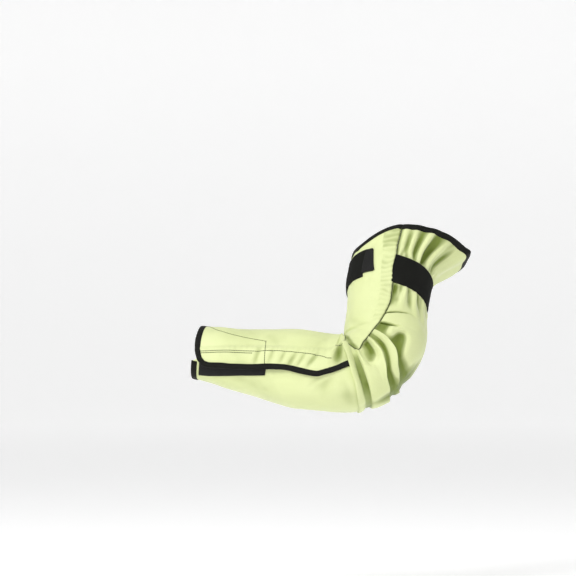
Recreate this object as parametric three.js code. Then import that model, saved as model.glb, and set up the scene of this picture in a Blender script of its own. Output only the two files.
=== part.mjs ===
// A long-cuff work sleeve of cut resistant cloth, in the form that it takes on a bent left arm.
// Units are millimetres. +Z is up, the forearm points along -X, and -Y is the outer side of the arm.
// The origin is the middle of the arm hole inside the elastic arm band.
import * as THREE from "three";

// Arm: lengths along the centreline, and the directions of its two halves
const forearmLength = 262; // wrist edge to the corner of the elbow
const upperArmLength = 217; // corner of the elbow to the top edge
const bandBelowTop = 67; // top edge to the middle of the arm band
const bandFromElbow = upperArmLength - bandBelowTop; // corner of the elbow to the middle of the band
const forearmRise = 8.7; // degrees, the wrist stands above the elbow
const forearmTurn = 8; // degrees, the wrist turns in towards the body
const upperArmLean = 5.7; // degrees, the shoulder end leans back
const upperArmTilt = 30; // degrees, the shoulder end leans in towards the body
const creaseRadius = 4; // the bend of the plain form at the inner elbow

// Girth: full widths in the plane of the bend, and depths across it
const wristWidth = 74;
const wristDepth = 69;
const elbowWidth = 112;
const elbowDepth = 106;
const upperArmWidth = 115;
const upperArmDepth = 108;
const rimWidth = 154;
const rimDepth = 132;

// Cloth, tape and trims
const clothThickness = 1.4;
const gap = 0.4; // between pieces that lie against each other
const seamGap = 0.4; // between the cut edges of two panels
const creaseGap = 1.2; // between the front panel's lower edge and the folds beside it
const tapeThickness = 0.7;
const tapeWidth = 7;
const hookStripWidth = 25;
const hookStripThickness = 1;
const bandWidth = 42;
const bandThickness = 1.5;
const hookTabWidth = 30;
const hookTabLength = 14;
const foldHeight = 9; // the highest elbow fold above the plain sleeve
const gatherHeight = 8; // the highest gather above the plain sleeve
const innerBulge = 2.2; // cloth that swells and then tucks in at the inner elbow
const innerTuck = 2.2;
const frontTuck = 2.5; // the front panel's lower edge, under the fold beside it

const finish = (color, roughness) => new THREE.MeshStandardMaterial({ color, roughness, metalness: 0 });
const materials = {
  cloth: finish(0xd7e08f, 0.75),
  tape: finish(0x1c1d18, 0.8),
  elastic: finish(0x20211d, 0.85),
  hook: finish(0x18191a, 0.95),
};

const radians = THREE.MathUtils.degToRad;
const { clamp, lerp, smoothstep } = THREE.MathUtils;
const fullTurn = 360;
// Degrees from the back of the arm: less than half a turn each way, and the same on both sides
const halfTurnFrom = (around) => around - fullTurn * Math.round(around / fullTurn);
const fromBack = (around) => Math.abs(halfTurnFrom(around));

// Centreline: a straight forearm, a round bend and a straight upper arm.
// A station runs from 0 at the wrist through 1 and 2, the ends of the bend, to 3 at the top edge.
const toWrist = new THREE.Vector3(
  -Math.cos(radians(forearmRise)) * Math.cos(radians(forearmTurn)),
  Math.sin(radians(forearmTurn)),
  Math.sin(radians(forearmRise)) * Math.cos(radians(forearmTurn)),
).normalize();
const toShoulder = new THREE.Vector3(
  Math.sin(radians(upperArmLean)) * Math.cos(radians(upperArmTilt)),
  Math.sin(radians(upperArmTilt)),
  Math.cos(radians(upperArmLean)) * Math.cos(radians(upperArmTilt)),
).normalize();
const elbowCorner = toShoulder.clone().multiplyScalar(-bandFromElbow);
const bendAngle = Math.PI - toWrist.angleTo(toShoulder);
const bendRadius = elbowWidth / 2 + creaseRadius;
const bendReach = bendRadius * Math.tan(bendAngle / 2);
const nearSide = new THREE.Vector3().crossVectors(toShoulder, toWrist).normalize();
const outAtWrist = new THREE.Vector3().crossVectors(nearSide, toWrist).normalize();
const bendStart = elbowCorner.clone().addScaledVector(toWrist, bendReach);
const bendCentre = bendStart.clone().addScaledVector(outAtWrist, -bendRadius);
const zoneLengths = [forearmLength - bendReach, bendRadius * bendAngle, upperArmLength - bendReach];
const bandStation = 2 + (bandFromElbow - bendReach) / zoneLengths[2];

function centreline(at) {
  const turned = clamp(at - 1, 0, 1) * bendAngle;
  const out = outAtWrist.clone().multiplyScalar(Math.cos(turned)).addScaledVector(toWrist, -Math.sin(turned));
  const centre = bendCentre.clone().addScaledVector(out, bendRadius);
  centre.addScaledVector(toWrist, Math.max(1 - at, 0) * zoneLengths[0]);
  centre.addScaledVector(toShoulder, Math.max(at - 2, 0) * zoneLengths[2]);
  return { centre, out };
}

// A smooth curve through a table's rows that never overshoots them
function through(rows, at) {
  const x = rows.map((row) => row[0]);
  const y = rows.map((row) => row[1]);
  const last = x.length - 1;
  const slopes = x.slice(1).map((xi, i) => (y[i + 1] - y[i]) / (xi - x[i]));
  const tangent = (i) => {
    if (i === 0 || i === last) return slopes[Math.min(i, last - 1)];
    const [before, after] = [slopes[i - 1], slopes[i]];
    return before * after <= 0 ? 0 : (2 * before * after) / (before + after);
  };
  const place = clamp(at, x[0], x[last]);
  let i = 0;
  while (i < last - 1 && place > x[i + 1]) i++;
  const step = x[i + 1] - x[i];
  const t = (place - x[i]) / step;
  const [t2, t3] = [t * t, t * t * t];
  return (
    (2 * t3 - 3 * t2 + 1) * y[i] + (t3 - 2 * t2 + t) * step * tangent(i) +
    (3 * t2 - 2 * t3) * y[i + 1] + (t3 - t2) * step * tangent(i + 1)
  );
}

// Sections: width, depth and outward shift as shares of the named girth that each one follows
const girths = {
  wrist: [wristWidth, wristDepth],
  elbow: [elbowWidth, elbowDepth],
  upperArm: [upperArmWidth, upperArmDepth],
  rim: [rimWidth, rimDepth],
};
const sections = [
  { at: 0.0, of: "wrist", width: 1.0, depth: 1.0, shift: -0.04 },
  { at: 0.35, of: "elbow", width: 0.8, depth: 0.779, shift: -0.02 },
  { at: 0.75, of: "elbow", width: 1.0, depth: 0.925, shift: -0.02 },
  { at: 1.0, of: "elbow", width: 0.98, depth: 0.977, shift: -0.035 },
  { at: 1.25, of: "elbow", width: 0.98, depth: 0.99, shift: -0.035 },
  { at: 1.5, of: "elbow", width: 1.0, depth: 1.0, shift: -0.01 },
  { at: 1.75, of: "elbow", width: 0.98, depth: 1.0, shift: -0.02 },
  { at: 2.0, of: "upperArm", width: 1.0, depth: 1.0, shift: -0.015 },
  { at: 2.35, of: "upperArm", width: 0.96, depth: 1.0, shift: -0.018 },
  { at: 2.55, of: "upperArm", width: 1.0, depth: 1.01, shift: -0.018 },
  { at: 2.72, of: "upperArm", width: 1.047, depth: 1.05, shift: 0.018 },
  { at: 3.0, of: "rim", width: 1.0, depth: 1.0, shift: 0.145 },
];
const widthRows = sections.map((s) => [s.at, girths[s.of][0] * s.width]);
const depthRows = sections.map((s) => [s.at, girths[s.of][1] * s.depth]);
const shiftRows = sections.map((s) => [s.at, girths[s.of][0] * s.shift]);

// A point of the sleeve: around is 0 at the back of the arm, 90 on its outer side and 180 at the inner elbow
function sleeveSurface(at, around, rise) {
  const { centre, out } = centreline(at);
  const half = [through(widthRows, at) / 2 + rise, through(depthRows, at) / 2 + rise];
  return centre
    .addScaledVector(out, through(shiftRows, at) + half[0] * Math.cos(radians(around)))
    .addScaledVector(nearSide, half[1] * Math.sin(radians(around)));
}

// The same point with the direction that is outward there on the plain sleeve
function sleevePoint(at, around, rise = 0) {
  const point = sleeveSurface(at, around, rise);
  const outward = sleeveSurface(at, around, rise + 1).sub(point).normalize();
  return Object.assign(point, { outward, at, around });
}

// How many degrees round the sleeve a length is, and how many stations along it
const meanRadius = (at) => (through(widthRows, at) + through(depthRows, at)) / 4;
const degreesFor = (length, at) => THREE.MathUtils.radToDeg(length / meanRadius(at));
const stationsFor = (length, zone) => length / zoneLengths[zone];

// Seams and edges: station, degrees round
const sideSeam = [
  [0, 67], [0.29, 82], [0.52, 88], [0.76, 92], [0.96, 94], [1.03, 104], [1.12, 113], [1.2, 115],
  [1.3, 105], [1.37, 95], [1.46, 100], [1.55, 104], [1.74, 104], [1.9, 100.5], [2.0, 95.5], [2.1, 89],
  [2.25, 83], [2.45, 82], [2.7, 84], [2.82, 89], [3.0, 97],
];
const flapEdge = [
  [0, 50], [0.012, 45], [0.03, 41], [0.08, 40], [0.14, 41.5], [0.22, 44], [0.31, 46.5], [0.47, 53],
  [0.58, 58.5], [0.69, 61], [0.8, 58.5], [0.9, 56.5], [0.98, 61.5], [1.05, 67], [1.12, 71.5], [1.21, 75],
];
// The flap's end slants away from the wrist: degrees round, stations
const flapWrist = [[40, 0.062], [54, 0.04], [66, 0.015], [75, 0]];
const seamAt = (at) => through(sideSeam, at);
const seamTip = 1.385; // where the front panel comes to a point between the elbow folds
const seamCrest = 115; // the seam's furthest way round, beside the inner elbow

// The elbow's folds, each a line from the seam over the outer side to the back of the arm.
// Stations at the seam, the side and the back, and rises there as shares of foldHeight
const sideShare = 0.6;
const elbowFolds = [
  { name: "front fold, foot", seam: 1.185, side: 1.26, back: 1.27, rises: [-0.05, -0.05, -0.05] },
  { name: "front fold, face", seam: 1.165, side: 1.243, back: 1.254, rises: [0.5, 0.5, 0.3] },
  { name: "front fold, crest", seam: 1.15, side: 1.23, back: 1.242, rises: [0.85, 0.9, 0.45] },
  { name: "front fold, top", seam: 1.19, side: 1.262, back: 1.275, rises: [0.75, 0.75, 0.35] },
  { name: "first hollow", seam: 1.265, side: 1.305, back: 1.318, rises: [0.1, -0.15, -0.1] },
  { name: "second fold, foot", seam: 1.325, side: 1.33, back: 1.338, rises: [0.1, -0.1, -0.05] },
  { name: "second fold, crest", seam: 1.352, side: 1.354, back: 1.354, rises: [0.6, 0.6, 0.35] },
  { name: "second fold, back", seam: 1.4, side: 1.405, back: 1.395, rises: [0.5, 0.55, 0.3] },
  { name: "dish", seam: 1.48, side: 1.475, back: 1.43, rises: [-0.25, 0.15, 0.25] },
  { name: "third fold, rise", seam: 1.58, side: 1.53, back: 1.45, rises: [0.1, 0.6, 0.35] },
  { name: "third fold, crest", seam: 1.66, side: 1.562, back: 1.472, rises: [0.55, 0.95, 0.45] },
  { name: "third hollow", seam: 1.69, side: 1.602, back: 1.495, rises: [-0.1, -0.4, -0.1] },
  { name: "fourth fold, rise", seam: 1.76, side: 1.67, back: 1.51, rises: [0.2, 0.2, 0.15] },
  { name: "fourth fold, crest", seam: 1.84, side: 1.74, back: 1.53, rises: [0.5, 0.85, 0.35] },
  { name: "pocket", seam: 1.875, side: 1.8, back: 1.58, rises: [-0.1, -0.5, 0.15] },
  { name: "pocket, top", seam: 1.91, side: 1.88, back: 1.65, rises: [0.15, 0.0, 0.2] },
  { name: "fifth fold", seam: 1.945, side: 1.955, back: 1.73, rises: [0.4, 0.5, 0.25] },
  { name: "lower slit", seam: 1.985, side: 2.01, back: 1.85, rises: [-0.35, 0.25, 0.2] },
  { name: "tuck between slits", seam: 2.035, side: 2.07, back: 1.95, rises: [0.35, 0.25, 0.15] },
  { name: "upper slit", seam: 2.09, side: 2.13, back: 2.06, rises: [-0.3, 0.15, 0.1] },
  { name: "over the slits", seam: 2.15, side: 2.19, back: 2.16, rises: [0.25, 0.15, 0.05] },
  { name: "plain back", seam: 2.24, side: 2.27, back: 2.26, rises: [0, 0, 0] },
];

// Gathers on each side of the arm band: degrees round at the band and at the far end, and rises as shares
// of gatherHeight
const gathersAbove = [
  { band: 84, end: 94, rise: 0 },
  { band: 74, end: 89, rise: 0.2 },
  { band: 69, end: 86, rise: -0.1 },
  { band: 64, end: 80, rise: 0.35 },
  { band: 59, end: 72, rise: -0.4 },
  { band: 51, end: 63, rise: 0.45 },
  { band: 44, end: 54, rise: -0.9 },
  { band: 34, end: 34, rise: 0.55 },
  { band: 23, end: 15, rise: -0.5 },
  { band: 7, end: -4, rise: 0.4 },
  { band: -8, end: -18, rise: -0.3 },
  { band: -24, end: -34, rise: 0.35 },
  { band: -42, end: -52, rise: -0.4 },
  { band: -60, end: -70, rise: 0.3 },
  { band: -84, end: -94, rise: 0 },
];
const gathersBelow = [
  { band: 84, end: 84, rise: 0 },
  { band: 72, end: 74, rise: -0.35 },
  { band: 62, end: 57, rise: 0.5 },
  { band: 47, end: 50, rise: -0.4 },
  { band: 34, end: 36, rise: 0.3 },
  { band: 20, end: 20, rise: -0.2 },
  { band: 4, end: 4, rise: 0.2 },
  { band: -12, end: -10, rise: -0.25 },
  { band: -32, end: -30, rise: 0.25 },
  { band: -55, end: -52, rise: -0.25 },
  { band: -84, end: -84, rise: 0 },
];
const farShare = 0.6; // folds on the side that lies against the body are lower

// The back panel's own measure round the arm: 1 at the outer seam, 0 at the back, -1 at the inner seam
function foldLine(fold, across) {
  const near = Math.abs(across);
  const pick = (seam, side, back) => through([[0, back], [sideShare, side], [1, seam]], near);
  const strength = across < 0 ? lerp(1, farShare, smoothstep(-across, 0, 0.4)) : 1;
  return { at: pick(fold.seam, fold.side, fold.back), rise: pick(...fold.rises) * foldHeight * strength };
}

const halfBand = stationsFor(bandWidth, 2) / 2;
const bandPath = [
  [-180, 0.08], [-90, 0], [0, -0.055], [45, -0.02], [84, 0.015], [110, 0.09], [145, 0.09], [180, 0.08],
];
const bandCentre = (around) => bandStation + through(bandPath, halfTurnFrom(around));
const aboveSwell = [[0, 0], [0.15, 0.6], [0.45, 1], [0.8, 0.5], [1, 0.3]]; // a gather's height on its way up
const belowSwell = [[0, 0], [0.15, 0.6], [0.35, 1], [1, 0]];
const belowReach = 0.25; // stations that the gathers run down from the band
// The top edge hangs open behind the arm: degrees round, rise at the top edge
const topFlare = [
  [-110, 0], [-85, 4], [-60, 12], [-35, 11], [-14, 8], [4, 6], [24, 1.5], [40, 0],
];
const flareReach = 0.8; // share of the way up from the band at which the flare is full

function gatherRise(at, around) {
  const foot = bandCentre(around);
  const above = at > foot;
  const rows = above ? gathersAbove : gathersBelow;
  const away = above
    ? (at - foot - halfBand) / (3 - bandStation - halfBand)
    : (foot - halfBand - at) / belowReach;
  const share = clamp(away, 0, 1);
  const strength = through(above ? aboveSwell : belowSwell, away);
  const line = rows.map((row) => [lerp(row.band, row.end, share), row.rise]).reverse();
  const flare = above ? through(topFlare, around) * smoothstep(away, 0, flareReach) : 0;
  return through(line, around) * strength * gatherHeight + flare;
}

// The top edge dips over the biceps
const rimDip = 0.13;
const rimAt = (around) => 3 - rimDip * smoothstep(fromBack(around), 95, 150);

// Rows that both upper panels share: on each side of the band, then up to the top edge
const bandRows = [[-1, 0.09], [-1, 0.035], [-1, 0], [0, 0], [1, 0]];
const topShares = [0.2, 0.5, 1];
const upperRows = [
  ...bandRows.map(([side, away]) => (around) => bandCentre(around) + side * (halfBand + away)),
  ...topShares.map((share) => (around) => {
    return lerp(bandCentre(around) + halfBand, rimAt(around) - stationsFor(tapeWidth, 2), share);
  }),
  rimAt,
];

// A closed wall of cloth: a grid of points on its outer face, and the same grid set in by its thickness
function gridNormals(grid) {
  const rows = grid.length;
  const columns = grid[0].length;
  const facing = (i, j) => {
    const up = grid[i + 1][j].clone().sub(grid[i - 1][j]);
    const round = grid[i][j + 1].clone().sub(grid[i][j - 1]);
    return up.cross(round).normalize();
  };
  const inner = (i, j) => i > 0 && j > 0 && i < rows - 1 && j < columns - 1;
  const each = (visit) => grid.map((row, i) => row.map((point, j) => visit(point, i, j)));
  const agreement = each((p, i, j) => (inner(i, j) ? facing(i, j).dot(p.outward) : 0)).flat();
  const side = Math.sign(agreement.reduce((a, b) => a + b));
  return each((p, i, j) => {
    return inner(i, j) ? facing(i, j).multiplyScalar(side).add(p.outward).normalize() : p.outward.clone();
  });
}

function closedGeometry(points, faces) {
  const geometry = new THREE.BufferGeometry();
  geometry.setAttribute("position", new THREE.Float32BufferAttribute(points.flatMap((p) => p.toArray()), 3));
  const volume = faces.reduce((sum, [a, b, c]) => sum + points[a].dot(points[b].clone().cross(points[c])), 0);
  geometry.setIndex(faces.flatMap(([a, b, c]) => (volume < 0 ? [a, c, b] : [a, b, c])));
  geometry.computeVertexNormals();
  return geometry;
}

function wallGeometry(grid, thickness) {
  const normals = gridNormals(grid);
  const rows = grid.length;
  const columns = grid[0].length;
  const outer = grid.flat();
  const inner = outer.map((p, k) => p.clone().addScaledVector(normals.flat()[k], -thickness));
  const index = (i, j, layer) => layer * rows * columns + i * columns + j;
  const faces = [];
  const quad = (a, b, c, d) => faces.push([a, b, c], [a, c, d]);
  for (let i = 0; i + 1 < rows; i++)
    for (let j = 0; j + 1 < columns; j++) {
      const flip = grid[i][j].distanceTo(grid[i + 1][j + 1]) > grid[i + 1][j].distanceTo(grid[i][j + 1]);
      const corners = [[i, j], [i + 1, j], [i + 1, j + 1], [i, j + 1]];
      const turned = flip ? [...corners.slice(1), corners[0]] : corners;
      quad(...turned.map(([r, c]) => index(r, c, 0)));
      quad(...turned.map(([r, c]) => index(r, c, 1)).reverse());
    }
  const border = [];
  for (let j = 0; j + 1 < columns; j++) border.push([0, j]);
  for (let i = 0; i + 1 < rows; i++) border.push([i, columns - 1]);
  for (let j = columns - 1; j > 0; j--) border.push([rows - 1, j]);
  for (let i = rows - 1; i > 0; i--) border.push([i, 0]);
  border.forEach(([i, j], k) => {
    const [m, n] = border[(k + 1) % border.length];
    quad(index(i, j, 1), index(i, j, 0), index(m, n, 0), index(m, n, 1));
  });
  return closedGeometry([...outer, ...inner], faces);
}

// Binding tape folded over a cloth edge.
// Each station has the edge point, a point inboard of it and the outward normal.
function bindingGeometry(stations, closed) {
  if (!closed) {
    const trim = (end, next) => {
      const shift = next.edge.clone().sub(end.edge).setLength(seamGap);
      Object.assign(end, { edge: end.edge.clone().add(shift), inboard: end.inboard.clone().add(shift) });
    };
    trim(stations[0], stations[1]);
    trim(stations.at(-1), stations.at(-2));
  }
  const [over, under] = [gap, -clothThickness - gap];
  const fold = -gap - tapeThickness;
  const profile = [
    [fold, over + tapeThickness], [tapeWidth, over + tapeThickness], [tapeWidth, over], [-gap, over],
    [-gap, under], [tapeWidth, under], [tapeWidth, under - tapeThickness], [fold, under - tapeThickness],
  ];
  const points = stations.flatMap(({ edge, inboard, normal }) => {
    const inward = inboard.clone().sub(edge).normalize();
    const place = (across, up) => edge.clone().addScaledVector(inward, across).addScaledVector(normal, up);
    return profile.map(([across, up]) => place(across, up));
  });
  const sides = profile.length;
  const faces = [];
  const rings = stations.length;
  for (let i = 0; i < (closed ? rings : rings - 1); i++)
    for (let k = 0; k < sides; k++) {
      const [a, b] = [i * sides, ((i + 1) % rings) * sides];
      const next = (k + 1) % sides;
      faces.push([a + k, a + next, b + next], [a + k, b + next, b + k]);
    }
  if (!closed) {
    const caps = THREE.ShapeUtils.triangulateShape(profile.map(([x, y]) => new THREE.Vector2(x, y)), []);
    const turned = THREE.ShapeUtils.isClockWise(profile.map(([x, y]) => new THREE.Vector2(x, y)));
    const last = (rings - 1) * sides;
    caps.forEach(([a, b, c]) => {
      faces.push(turned ? [a, b, c] : [a, c, b]);
      faces.push(turned ? [last + a, last + c, last + b] : [last + a, last + b, last + c]);
    });
  }
  return closedGeometry(points, faces);
}

const range = (count) => Array.from({ length: count + 1 }, (_, i) => i / count);

// The back of the sleeve: the pleated elbow panel, and the gathered panel above it up to the top edge
function backGrids() {
  const acrosses = [...range(20).map((s) => 1 - s), ...range(12).slice(1).map((s) => -s)];
  const place = (at, across, rise) => {
    const around = across * (seamAt(at) - degreesFor(seamGap, at));
    const edge = smoothstep(Math.abs(across), 0.9, 1);
    return sleevePoint(at, around, lerp(rise, 0, edge));
  };
  const lower = elbowFolds.map((fold) => acrosses.map((across) => {
    const line = foldLine(fold, across);
    return place(line.at, across, line.rise);
  }));
  const upper = upperRows.map((atOf) => acrosses.map((across) => {
    const at = atOf(across * seamAt(bandStation));
    return place(at, across, gatherRise(at, across * seamAt(at)));
  }));
  const join = acrosses.map((across) => {
    const line = foldLine(elbowFolds.at(-1), across);
    return place(line.at + stationsFor(seamGap, 2), across, line.rise);
  });
  return { elbow: lower, back: [join, ...upper] };
}

// Front panel: over the biceps, from the crease of the elbow to the top edge
const creaseLine = [[96, 1.385], [106, 1.3], [113, 1.225], [116, 1.2], [140, 1.25], [180, 1.3]];
const creaseAt = (around) => through(creaseLine, fromBack(around));
function frontPanelGrid() {
  const columns = range(18);
  const seamOf = (at) => seamAt(Math.max(at, seamTip));
  const place = (at, start, column) => {
    const around = lerp(seamOf(at), fullTurn - seamOf(at), column);
    const inner = smoothstep(fromBack(around), 110, 140);
    const tuck = 1 - smoothstep(at, start, start + 0.22);
    return sleevePoint(at, around, -frontTuck * tuck * inner);
  };
  const startAt = (column) => {
    return creaseAt(lerp(seamOf(0), fullTurn - seamOf(0), column)) + stationsFor(creaseGap, 1);
  };
  const toBand = upperRows[0];
  const bandAround = (column) => lerp(seamAt(bandStation), fullTurn - seamAt(bandStation), column);
  const bandFoot = (column) => toBand(bandAround(column));
  const seamStations = [seamTip, ...elbowFolds.map((fold) => fold.seam).filter((at) => at > seamTip)];
  const lower = seamStations.map((station) => columns.map((column) => {
    const share = (side) => (station - seamTip) / (bandFoot(side) - seamTip);
    const start = startAt(column);
    return place(lerp(start, bandFoot(column), lerp(share(0), share(1), column)), start, column);
  }));
  const upper = upperRows.map((atOf) => columns.map((column) => {
    return place(atOf(bandAround(column)), startAt(column), column);
  }));
  return [...lower, ...upper];
}

// Forearm: the wrap panel, whose free edge laps over the under panel on the outer side
const pastStrip = [0.56, 0.75]; // stations over which the flap comes down again past the hook strip
const seamRise = [-2, 9]; // degrees past the seam over which the flap leaves the forearm
const flapLift = (at) => {
  const overStrip = hookStripThickness + 2 * gap;
  return clothThickness + tapeThickness + 2 * gap + overStrip * (1 - smoothstep(at, ...pastStrip));
};
const frontFoot = elbowFolds[0];
const frontCrest = elbowFolds[2];
const forearmRows = [0, 0.012, 0.03, 0.08, 0.14, 0.25, 0.4, 0.55, 0.7, 0.85, 0.96];
const bendShares = [0, 0.33, 0.66, 1];
const slantReach = 0.3; // stations over which the slant of the wrist edge fades out
const flapPastBend = 0.17; // stations that the flap runs on past the start of the bend
function wrapPanelPoint(at, around) {
  const seam = seamAt(at);
  const lifted = 1 - smoothstep(around - seam, ...seamRise);
  const inner = smoothstep(fromBack(around), 118, 150);
  const bulge = innerBulge * inner * smoothstep(at, 0.98, 1.08) * (1 - smoothstep(at, 1.1, 1.22));
  const tuck = innerTuck * inner * smoothstep(at, 1.12, 1.28);
  return sleevePoint(at, around, flapLift(at) * lifted + bulge - tuck);
}
const underEndAt = (across) => foldLine(frontFoot, across).at - stationsFor(2 * gap, 1);
const wrapEndAt = (around) => {
  const from = fromBack(around);
  const across = Math.min(from / seamCrest, 1);
  const elbowEnd = around < 180 ? foldLine(frontCrest, across).at - stationsFor(gap, 1) : underEndAt(across);
  const alongCrease = creaseAt(Math.max(from, 116)) - stationsFor(seamGap, 1);
  return lerp(elbowEnd, alongCrease, smoothstep(from, 113, 118));
};

// Where a row of stations meets a line that itself depends on the station
function meet(atOf, lineOf) {
  let around = lineOf(atOf(90));
  for (let i = 0; i < 8; i++) around = lineOf(atOf(around));
  return around;
}
function wrapPanelGrid() {
  const row = (atOf, along) => {
    const seam = meet(atOf, seamAt);
    const edge = meet(atOf, () => through(flapEdge, along));
    const farSeam = meet(atOf, (at) => fullTurn - seamAt(at) - degreesFor(seamGap, at));
    const [leaves, lies] = seamRise.map((past) => seam + past);
    const arounds = [
      ...range(4).map((s) => lerp(edge, leaves, s)),
      lerp(leaves, lies, 0.35), lerp(leaves, lies, 0.7),
      ...range(17).map((s) => lerp(lies, farSeam, s)),
    ];
    return arounds.map((around) => wrapPanelPoint(atOf(around), around));
  };
  const slant = (at, around) => through(flapWrist, around) * Math.max(1 - at / slantReach, 0);
  return [
    ...forearmRows.map((at) => row((around) => at + slant(at, around), at)),
    ...bendShares.map((share) => {
      return row((around) => lerp(1, wrapEndAt(around), share), 1 + flapPastBend * share);
    }),
  ];
}

// Forearm: the under panel, whose near edge lies under the flap
function underPanelGrid() {
  const acrosses = range(24).map((s) => 1 - 2 * s);
  const tuckUnder = 4; // degrees that the near edge stops short of the seam line
  const cell = (at, across) => {
    const near = seamAt(at) - tuckUnder;
    return sleevePoint(at, across * (across > 0 ? near : seamAt(at)), 0);
  };
  return [
    ...forearmRows.map((at) => acrosses.map((across) => cell(at, across))),
    ...bendShares.map((share) => acrosses.map((across) => cell(lerp(1, underEndAt(across), share), across))),
  ];
}

// Trims on the outer face of the cloth
const hookStripSpan = [0.055, 0.545]; // stations
const hookStripLowEdge = [[0.05, 9.5], [0.3, 30], [0.54, 46]];
function hookStripGrid() {
  return range(9).map((s) => {
    const at = lerp(...hookStripSpan, s);
    const around = (t) => through(hookStripLowEdge, at) + t * degreesFor(hookStripWidth, at);
    return range(4).map((t) => sleevePoint(at, around(t), gap + hookStripThickness));
  });
}

function bandGrid(fromAround, toAround, width, steps) {
  const half = stationsFor(width, 2) / 2;
  return range(2).map((t) => range(steps).map((s) => {
    const around = lerp(fromAround, toAround, s);
    return sleevePoint(bandCentre(around) + lerp(-half, half, t), around, gap + bandThickness);
  }));
}

// Edges that are bound
function gridEdge(grid, edgeRow, inboardRow) {
  const normals = gridNormals(grid);
  return grid[edgeRow].map((edge, j) => {
    return { edge, inboard: grid[inboardRow][j], normal: normals[edgeRow][j] };
  });
}

// The wrap panel's bound edge: along the wrist, round the corner and up the flap
function wrapEdge(grid) {
  const bound = [...[...grid[0]].reverse(), ...grid.slice(1).map((row) => row[0])];
  return bound.map((edge, i) => {
    const [before, after] = [bound[Math.max(i - 1, 0)], bound[Math.min(i + 1, bound.length - 1)]];
    const along = after.clone().sub(before).normalize();
    const inward = new THREE.Vector3().crossVectors(edge.outward, along).setLength(tapeWidth);
    const perDegree = wrapPanelPoint(edge.at, edge.around + 1).sub(wrapPanelPoint(edge.at, edge.around));
    const perStation = wrapPanelPoint(edge.at + 0.01, edge.around).sub(wrapPanelPoint(edge.at, edge.around));
    const at = edge.at + (0.01 * inward.dot(perStation)) / perStation.lengthSq();
    const around = edge.around + inward.dot(perDegree) / perDegree.lengthSq();
    const onWrist = i < grid[0].length - 4;
    const inboard = onWrist ? grid[1][grid[0].length - 1 - i] : wrapPanelPoint(at, around);
    return { edge, inboard, normal: edge.outward };
  });
}

// Assembly
const sleeve = new THREE.Group();
function add(name, geometry, material) {
  const mesh = new THREE.Mesh(geometry, material);
  mesh.name = name;
  sleeve.add(mesh);
}

const { elbow: elbowPanel, back: backPanel } = backGrids();
const frontPanel = frontPanelGrid();
const wrapPanel = wrapPanelGrid();
const underPanel = underPanelGrid();
add("elbow_panel", wallGeometry(elbowPanel, clothThickness), materials.cloth);
add("back_panel", wallGeometry(backPanel, clothThickness), materials.cloth);
add("front_panel", wallGeometry(frontPanel, clothThickness), materials.cloth);
add("wrap_panel", wallGeometry(wrapPanel, clothThickness), materials.cloth);
add("under_panel", wallGeometry(underPanel, clothThickness), materials.cloth);

const topEdge = [
  ...gridEdge(backPanel, backPanel.length - 1, backPanel.length - 2).reverse(),
  ...gridEdge(frontPanel, frontPanel.length - 1, frontPanel.length - 2),
];
add("top_binding", bindingGeometry(topEdge, true), materials.tape);
add("wrap_binding", bindingGeometry(wrapEdge(wrapPanel), false), materials.tape);
add("under_wrist_binding", bindingGeometry(gridEdge(underPanel, 0, 1), false), materials.tape);

add("wrist_hook_strip", wallGeometry(hookStripGrid(), hookStripThickness), materials.hook);
const bandStart = seamAt(bandStation) - degreesFor(seamGap + 1, bandStation);
const bandEnd = -233; // degrees round, over the biceps
const tabEnd = bandEnd - degreesFor(hookTabLength, bandStation);
const armBand = bandGrid(bandStart, bandEnd, bandWidth, 60);
const hookTab = bandGrid(bandEnd - degreesFor(3 * gap, bandStation), tabEnd, hookTabWidth, 3);
add("arm_band", wallGeometry(armBand, bandThickness), materials.elastic);
add("band_hook_tab", wallGeometry(hookTab, bandThickness), materials.hook);

export default sleeve;
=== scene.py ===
# A long wrap-over work sleeve of bright cloth, in the form that it takes on a bent left arm.
import math

import bpy
import numpy as np
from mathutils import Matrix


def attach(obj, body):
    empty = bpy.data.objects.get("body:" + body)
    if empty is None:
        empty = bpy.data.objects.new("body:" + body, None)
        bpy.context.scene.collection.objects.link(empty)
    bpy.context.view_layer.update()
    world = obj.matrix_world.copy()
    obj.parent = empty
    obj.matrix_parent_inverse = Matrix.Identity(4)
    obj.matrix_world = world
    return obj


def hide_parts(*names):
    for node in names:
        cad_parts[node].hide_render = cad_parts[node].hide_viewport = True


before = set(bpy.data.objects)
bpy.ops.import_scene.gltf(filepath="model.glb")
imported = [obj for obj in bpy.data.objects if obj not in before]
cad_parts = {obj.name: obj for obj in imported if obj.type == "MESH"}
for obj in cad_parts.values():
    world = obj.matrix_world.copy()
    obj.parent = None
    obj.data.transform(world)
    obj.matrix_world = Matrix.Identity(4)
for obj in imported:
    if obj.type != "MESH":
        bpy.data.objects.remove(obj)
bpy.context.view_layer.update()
mm = 0.001
print("frame loaded,", len(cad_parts), "nodes")

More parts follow.
